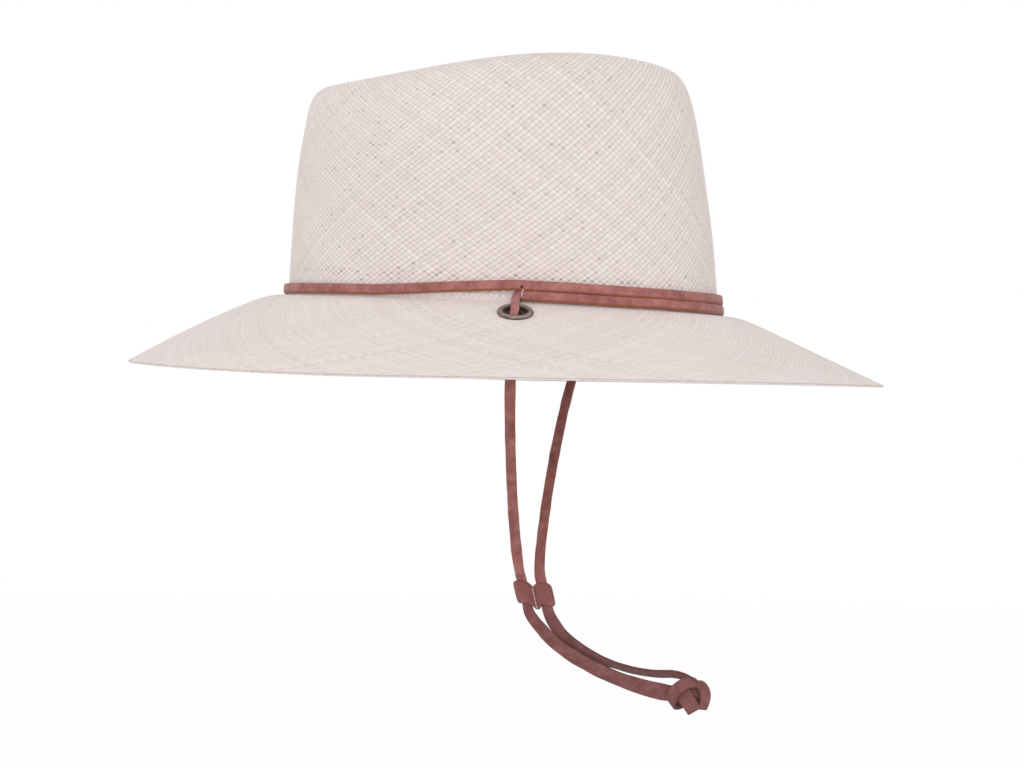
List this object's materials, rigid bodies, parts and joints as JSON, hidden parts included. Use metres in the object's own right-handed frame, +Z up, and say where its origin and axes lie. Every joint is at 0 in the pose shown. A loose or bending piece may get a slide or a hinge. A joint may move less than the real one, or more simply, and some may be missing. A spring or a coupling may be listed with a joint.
{
  "type": "panama hat",
  "caption": "Woven straw hat with a teardrop crown, a wide sloping brim, a leather lace band and a leather chin lace with a slider and a knot.",
  "frame": {"origin": "centre of the head opening, level with the middle of the break line where the crown turns into the brim", "axes": "+X towards the wearer's front, +Y towards the wearer's left, +Z up"},
  "size_m": [0.3606, 0.3218, 0.3101],
  "materials": {
    "straw": "fine woven straw, matt with a faint sheen",
    "lace_leather": "rosy brown nubuck lace with raw tan edges",
    "thread": "waxed thread",
    "antique_brass": "antique bronze, worn on the rim",
    "sweatband_leather": "smooth tan leather",
    "reed_plastic": "matt",
    "ribbon": "ribbed ribbon"
  },
  "bodies": {
    "hat": {"straw_body": "straw", "hat_band": "lace_leather", "chin_lace_crown_run": "lace_leather", "band_tack_right": "thread", "band_tack_left": "thread", "eyelet_right": "antique_brass", "eyelet_left": "antique_brass", "eyelet_washer_right": "antique_brass", "eyelet_washer_left": "antique_brass", "sweatband": "sweatband_leather", "sweatband_reed": "reed_plastic", "sweatband_stitching": "thread", "sweatband_bow": "ribbon"},
    "chin_lace": {"chin_lace_right": "lace_leather", "chin_lace_left": "lace_leather"},
    "slider": {"lace_slider": "lace_leather", "slider_stitch": "thread"},
    "tail_upper": {"tail_upper_right": "lace_leather", "tail_upper_left": "lace_leather"},
    "tail": {"tail_lower_right": "lace_leather", "tail_lower_left": "lace_leather", "lace_knot": "lace_leather", "lace_end_right": "lace_leather", "lace_end_left": "lace_leather"}
  },
  "joints": [
    {"name": "lace_swing", "type": "hinge", "parent": "hat", "child": "chin_lace", "pos_m": [0.0256, 0, -0.01373], "axis": [0, 1, 0], "range_deg": [-45, 55]},
    {"name": "slider_slide", "type": "slide", "parent": "chin_lace", "child": "slider", "axis": [0.0729, 0, 0.9973], "range_m": [0, 0.06], "deforming": ["chin_lace_right", "chin_lace_left"]},
    {"name": "tail_feed", "type": "slide", "parent": "slider", "child": "tail_upper", "axis": [0.0729, 0, 0.9973], "range_m": [-0.06, 0], "deforming": ["tail_upper_right", "tail_upper_left"]},
    {"name": "tail_swing", "type": "hinge", "parent": "tail_upper", "child": "tail", "pos_m": [0.0244, 0, -0.157], "axis": [0, 1, 0], "range_deg": [-30, 100]}
  ],
  "couplings": [
    {"joint": "tail_feed", "follows": "slider_slide", "ratio": -1}
  ]
}
